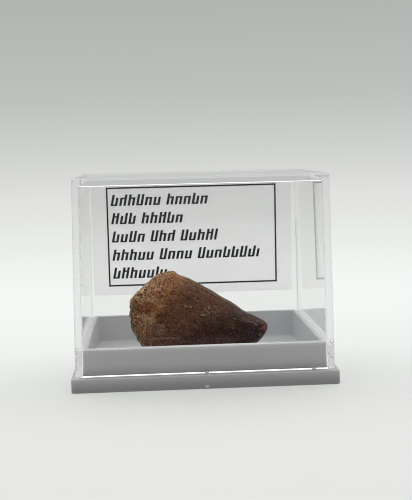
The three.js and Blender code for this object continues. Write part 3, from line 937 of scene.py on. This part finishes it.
# Stains: X, height, their reaches, side (-1 front, 1 back, 0 both), share and colour. The low grey and tip
# grey patches are painted sheens, the bluish spot a painted highlight.
STAINS_AND_SHEENS = (
    (-8.8, 22.4, 1.6, 1.0, -1, 0.6, ORANGE), (-12.4, 17.8, 1.7, 0.9, -1, 0.6, TAN),
    (-14.0, 15.5, 2.1, 1.1, -1, 0.95, RED), (-12.6, 15.2, 0.8, 0.6, -1, 0.7, RED),
    (-14.6, 12.6, 1.2, 1.0, -1, 0.5, RED), (-11.7, 13.3, 1.0, 1.4, -1, 0.9, OLIVE),
    (-7.4, 18.3, 1.0, 0.5, -1, 0.7, ROSE), (-6.7, 19.3, 0.5, 0.5, -1, 0.5, BLOOD),
    (-9.5, 13.9, 1.8, 0.7, -1, 0.9, UMBER), (-10.6, 10.9, 1.9, 1.4, -1, 0.85, GREY_BROWN),
    (-10.0, 7.4, 4.4, 1.5, -1, 0.85, RUST), (-8.4, 11.3, 0.5, 0.4, -1, 0.6, BLOOD),
    (-12.5, 9.3, 1.1, 2.6, -1, 0.7, PINK), (-0.7, 19.4, 0.4, 0.5, -1, 0.6, BLOOD),
    (-3.7, 18.4, 0.5, 0.3, -1, 0.6, BLOOD), (-2.7, 17.8, 0.6, 0.3, -1, 0.6, BLOOD),
    (-3.0, 16.8, 0.4, 0.3, -1, 0.6, BLOOD), (-5.6, 14.4, 0.5, 0.3, -1, 0.5, BLOOD),
    (-9.6, 12.6, 0.4, 0.3, -1, 0.7, BLOOD), (-5.6, 12.6, 0.5, 0.3, -1, 0.6, BLOOD),
    (0.6, 11.5, 0.3, 0.4, -1, 0.7, BLOOD), (9.2, 10.9, 1.3, 0.7, -1, 0.6, ENAMEL_BLACK),
    (8.2, 12.3, 2.4, 0.4, -1, 0.6, ENAMEL_BLACK), (7.0, 11.3, 1.5, 1.3, -1, 0.4, GOLD_BROWN),
    # painted sheen: the wide pale patch low on the front
    (1.8, 7.1, 9.0, 1.5, -1, 0.6, LOW_PAINTED_SHEEN), (13.2, 7.9, 1.1, 1.1, -1, 0.8, INDIGO),
    (-13.6, 12.0, 2.2, 2.2, 1, 0.85, RED), (-10.4, 17.5, 2.6, 1.8, 1, 0.7, OLIVE),
    (-5.0, 11.0, 3.6, 2.2, 1, 0.6, UMBER), (4.0, 8.5, 4.0, 2.0, 1, 0.6, GREY_BROWN),
    # painted sheen: the grey patch under the tip
    (14.6, 7.8, 0.9, 1.3, 0, 0.7, ENAMEL_BLACK), (15.6, 6.6, 1.4, 0.8, 0, 0.6, TIP_PAINTED_SHEEN),
    (15.8, 9.0, 1.0, 0.6, 0, 0.85, TIP_RED), (14.9, 8.6, 0.3, 0.5, -1, 0.8, BLOOD),
    (0.5, 13.7, 0.6, 0.14, -1, 0.7, FLECK_PALE), (1.9, 15.1, 0.3, 0.16, -1, 0.6, FLECK_PALE),
    (2.8, 14.3, 0.25, 0.2, -1, 0.6, FLECK_PALE), (8.2, 12.1, 0.3, 0.16, -1, 0.6, FLECK_PALE),
    # painted highlight: a small bluish-white spot near the tip
    (13.6, 10.1, 0.17, 0.32, -1, 0.9, TIP_PAINTED_HIGHLIGHT),
)
# Faint growth rings near the tip: their centre, stretch along the tooth, spacing, reach and depth.
GROWTH_RINGS = {"x": 10.5, "z": 9.4, "stretch": 2.4, "spacing": 0.53, "reach": 1.5, "depth": 0.7}
# Patches of pale flecks, and of golden ones, on the enamel: X, height, their reaches, and side.
PALE_FLECKS = (
    (-3.8, 16.1, 2.2, 0.45, -1), (2.3, 14.9, 1.6, 1.1, -1), (4.9, 13.4, 0.8, 0.5, -1),
    (14.7, 7.5, 1.1, 1.5, -1), (0.5, 11.0, 4.0, 2.0, 1), (-6.0, 16.0, 2.0, 2.5, 1),
)
GOLD_FLECKS = ((7.4, 11.3, 1.3, 1.6, -1), (3.0, 13.0, 1.5, 1.5, 1))


def patch_share(points, patch, edge):
    """A ragged oval patch on one side of the tooth: 1 within it, falling to 0 past its edge."""
    x, y, z = np.moveaxis(points, -1, 0)
    at_x, at_z, reach_x, reach_z, side = patch
    away = np.hypot((x - at_x) / reach_x, (z - at_z) / reach_z)
    ragged = 0.3 * lump_noise(points, 1.6, 71) + 0.25 * lump_noise(points, 0.6, 72)
    on_side = (y * side > 0) | (side == 0)
    return on_side * (1 - smoothstep(away + ragged, 1 - edge, 1 + edge))


def blended(colour, other, share):
    """Colours turned towards another by a share for each point."""
    return colour + share[..., None] * (other - colour)


def tooth_colour_and_sheen(points, root, rock, past, section):
    """The colour at each point: the crown's run of colours, the olive strip over its front edge, a painted
    grey sheen over the top towards the tip, the golden band at the margin, growth rings, root, stains in
    order with painted sheens and a painted highlight among them, a scratch, and the rock."""
    x, y, z = np.moveaxis(points, -1, 0)
    across, up, _ = np.moveaxis(section, -1, 0) / np.hypot(section[..., 0], section[..., 1])
    wander = 1.6 * lump_noise(points, 4.5, 73) + 0.8 * lump_noise(points, 1.7, 74)
    run = x + wander - CROWN_SHADE * up
    stops = np.array([place for place, _ in CROWN_COLOURS])
    crown = np.array([shade for _, shade in CROWN_COLOURS])
    colour = np.stack([np.interp(run, stops, crown[:, k]) for k in range(3)], axis=-1)
    strip = bump_between(across, -0.42, -0.32, 0.2, 0.5) * bump_between(x, -5, -1, 5, 9)
    colour = blended(colour, EDGE_OLIVE, 0.75 * strip * (up > 0))
    # painted sheen: greyer over the top of the crown towards the tip
    above = smoothstep(up + 0.06 * wander, 0.48, 0.68)
    colour = blended(colour, TIP_PAINTED_SHEEN, 0.9 * above * smoothstep(x, 4, 12))
    band = smoothstep(past, -0.5, 0.2) * (1 - smoothstep(past + 0.3 * wander, 1.3, 2.8))
    colour = blended(colour, GOLDEN, 0.95 * band * smoothstep(z, 12.5, 15.5))
    g = GROWTH_RINGS
    away = np.hypot((x - g["x"]) / g["stretch"], z - g["z"])
    rings = np.cos(2 * math.pi * away / g["spacing"]) * np.exp(-((away / g["reach"]) ** 2)) * (y < 0)
    colour = colour * (1 + g["depth"] * rings)[..., None]
    lower_line = 8.55 - 0.015 * (x + 9.5) ** 2
    scratch = np.exp(-(((z - lower_line) / 0.14) ** 2)) * (y < 0) * smoothstep(x, -15, -13.5)
    bone = blended(np.array(TAN), ORANGE, smoothstep(lump_noise(points, 1.5, 75), -0.2, 0.5))
    bone = blended(bone, RED, 0.5 * smoothstep(lump_noise(points, 2.4, 76), 0.3, 0.8))
    bone = blended(bone, PINK, 0.7 * (1 - smoothstep(z, 11, 14)))
    colour = blended(colour, bone, root)
    for *patch, share, shade in STAINS_AND_SHEENS:
        colour = blended(colour, shade, share * patch_share(points, patch, 0.35))
    colour = blended(colour, FLECK_PALE, 0.35 * scratch * (1 - smoothstep(x, -6.5, -4.5)))
    grit = blended(np.array(MATRIX_GREEN), MATRIX_GREY, smoothstep(lump_noise(points, 0.7, 77), -0.3, 0.4))
    return blended(colour, grit * (0.65 + 0.35 * smoothstep(z, 14, 17))[..., None], rock)


def fleck_share(points, patches):
    """Where flecks may lie: the greatest of the soft patches."""
    return np.maximum.reduce([patch_share(points, patch, 0.5) for patch in patches])


def make_tooth(material):
    """The fossil: its plain form with relief along the normals, its colours and shares kept on the mesh."""
    points, broken, section = tooth_form()
    root, rock, past = tooth_zones(points, broken)
    relief, pits = tooth_relief(points, root, rock, past, section)
    points = points + surface_normals(points) * relief[..., None]
    points[..., 2] = np.maximum(points[..., 2], TRAY_FLOOR)
    tooth = make_piece("fossil_tooth", points, grid_faces(*points.shape[:2]), material)
    store = {
        "colour_and_sheen": tooth_colour_and_sheen(points, root, rock, past, section),
        "root": root,
        "rock": rock,
        "pit": pits,
        "fleck": fleck_share(points, PALE_FLECKS),
        "gold": fleck_share(points, GOLD_FLECKS),
        "section": section,
    }
    for name, values in store.items():
        store_values(tooth, name, values)
    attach(tooth, "root")
    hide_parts("mosasaur_tooth")


# ---- Stage and light ----

STAGE_RADIUS = 450.0
STAGE_BEND = 150.0
STAGE_HEIGHT = 500.0
STAGE_WHITE = (0.64, 0.643, 0.632)
# Glow of the stage by the way run along its profile from the middle, in mm.
GLOW = (
    (60, (0.94, 0.965, 0.93)), (95, (0.94, 0.96, 0.93)), (180, (0.895, 0.915, 0.885)),
    (330, (0.82, 0.84, 0.80)), (385, (0.748, 0.752, 0.731)), (425, (0.63, 0.645, 0.63)),
    (470, (0.515, 0.53, 0.51)), (535, (0.45, 0.46, 0.445)), (610, (0.48, 0.49, 0.475)),
    (720, (1.0, 1.01, 1.0)),
)
GLOW_REACH = 1000.0
FRONT_GLOW = 0.5  # the glow's share at the front
FLOOR_GLOW = 0.35  # its share on the floor before the box


def stage_white():
    """White that glows by its place in the bowl, less with height and at the front. The floor before the
    box glows by a share only."""
    material, g, shader, output = new_material("stage_white", STAGE_WHITE)
    g.feed(shader, {"Base Color": STAGE_WHITE, "Roughness": 0.9})
    y_mm = g.part_of(g.place_mm(), "Y")
    way = g.attribute("run")
    stops = [(at / GLOW_REACH, colour) for at, colour in GLOW]
    colour = g.ramp(g.math("DIVIDE", way, GLOW_REACH), stops)
    strength = g.span(y_mm, -350.0, 150.0, FRONT_GLOW, 1.0)
    light = g.add("Emission", {"Color": colour, "Strength": strength})
    behind = g.times(g.span(way, 50.0, 110.0), g.span(y_mm, 0.0, 50.0))
    share = g.math("MAXIMUM", behind, g.span(way, 300.0, 380.0))
    share = g.math("MAXIMUM", share, g.span(y_mm, -35.0, 20.0, FLOOR_GLOW, 1.0, "LINEAR"))
    both = g.add("MixShader", {0: share, 1: shader.outputs[0], 2: light})
    g.feed(output, {"Surface": both})
    return material


def make_stage(material):
    """A round bowl: flat floor, a quarter round, an upright wall. Each point keeps its way along them."""
    bend = np.radians(np.linspace(0, 90, 33))
    flat = STAGE_RADIUS - STAGE_BEND
    r = np.concatenate(((2.0, 60.0, 120.0, 200.0), flat + STAGE_BEND * np.sin(bend), (STAGE_RADIUS,)))
    z = np.concatenate((np.zeros(4), STAGE_BEND * (1 - np.cos(bend)), (STAGE_HEIGHT,)))
    run = np.concatenate(((0.0,), np.cumsum(np.hypot(np.diff(r), np.diff(z)))))
    turn = once_round(96)
    x = r[:, None] * np.cos(turn)
    points = np.stack((x, r[:, None] * np.sin(turn), z[:, None] + 0 * x), axis=-1)
    faces = grid_faces(len(r), len(turn))[:-1]
    bowl = make_piece("stage_bowl", points, [f[::-1] for f in faces], material)
    store_values(bowl, "run", run[:, None] + 0 * x)


OVERHEAD = 3.0
FRONT_SKY = 1.1


def make_light():
    """Soft light from above and behind: the sky's strength rises with the lean to the back."""
    world = bpy.data.worlds.new("overhead")
    world.use_nodes = True
    g = Graph(world.node_tree)
    way = g.part_of(g.add("TexCoord", {}, output="Generated"), "Y")
    strength = g.span(way, -0.35, 0.25, FRONT_SKY, OVERHEAD)
    g.feed(world.node_tree.nodes["Background"], {"Color": WHITE, "Strength": strength})
    bpy.context.scene.world = world


def set_light_paths():
    """Enough bounces for light that runs through and along the lid's walls, and a crisper pixel filter."""
    cycles = bpy.context.scene.cycles
    cycles.max_bounces = 24
    cycles.glossy_bounces = 16
    cycles.transmission_bounces = 24
    cycles.transparent_max_bounces = 16
    cycles.filter_width = 1.1


# ---- Making it all ----

bpy.context.scene.view_settings.view_transform = "Standard"
make_camera()
make_stage(stage_white())
make_light()
set_light_paths()

grain = grain_group()
speckle = speckle_group()
plastic = grey_plastic(grain, speckle)
make_base(plastic)
make_gate_mark(plastic)
make_studs(plastic)
make_lid(clear_plastic(grain))
make_card(card_paper(grain))
make_print(printed_ink(grain))
make_tooth(fossil(grain, speckle))
